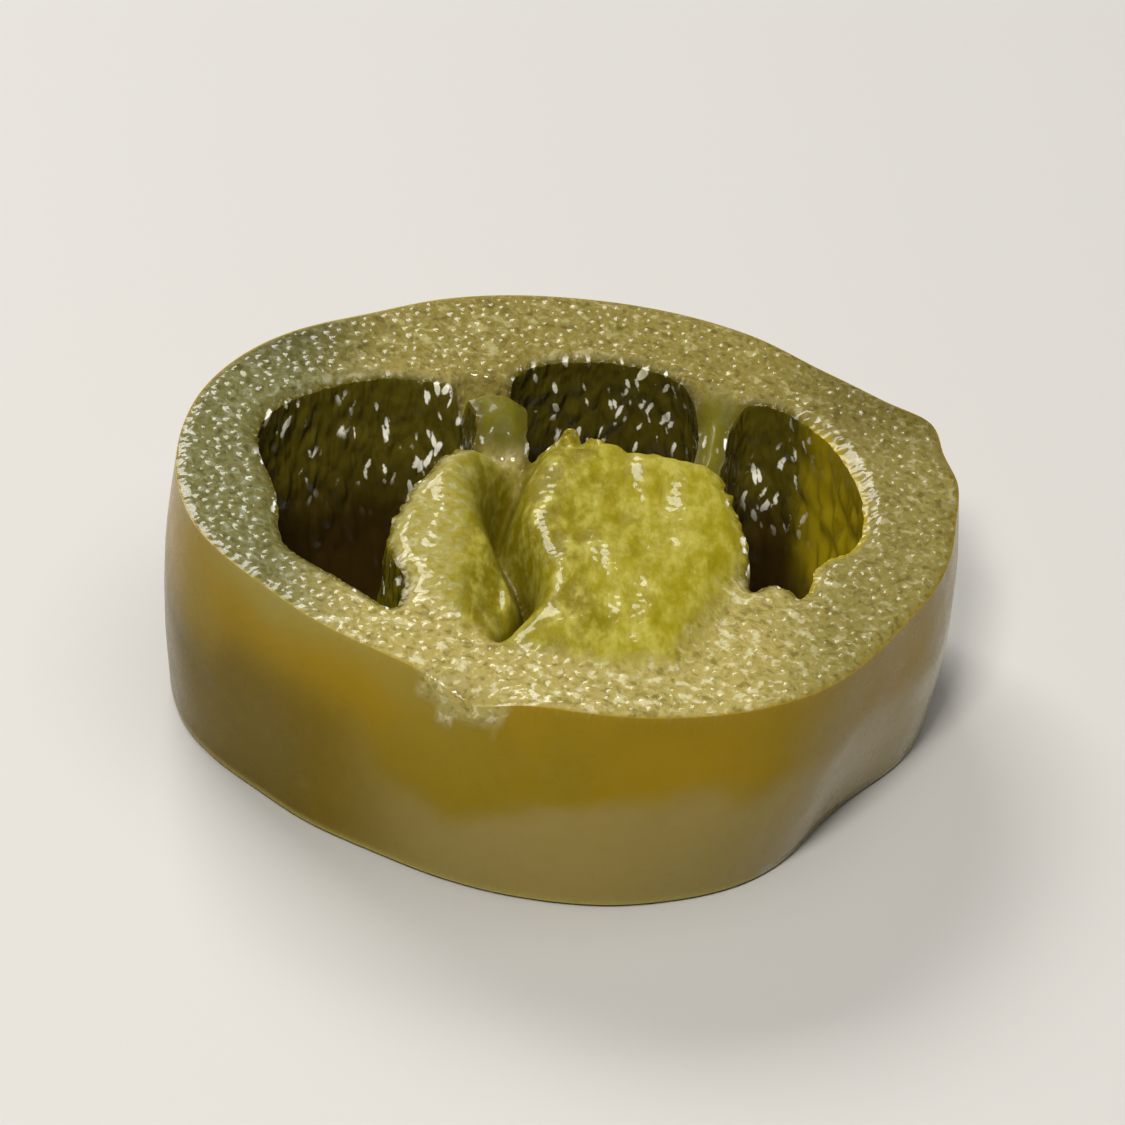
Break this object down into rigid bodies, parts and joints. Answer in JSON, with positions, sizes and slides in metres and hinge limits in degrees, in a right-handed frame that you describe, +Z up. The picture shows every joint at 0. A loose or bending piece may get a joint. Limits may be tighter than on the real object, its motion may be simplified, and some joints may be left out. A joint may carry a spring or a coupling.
{
  "type": "pickled chilli pepper ring",
  "caption": "Thick ring cut across a pickled green chilli pepper, with glossy skin, fleshy wall, open seed chambers and a pale seed-bearing middle, lying flat on one cut face.",
  "frame": {"origin": "centre of the ring's outline in plan, on the surface that its lower cut face lies on", "axes": "+Z up along the pepper's own axis, +X towards the ring's thinner side, the longest way across, and -Y towards the side where the seed-bearing middle grows out of the wall"},
  "size_m": [0.0324, 0.0318, 0.0102],
  "materials": {
    "pickled_pepper": "wet gloss"
  },
  "bodies": {
    "root": {"pepper_ring": "pickled_pepper"}
  },
  "joints": []
}
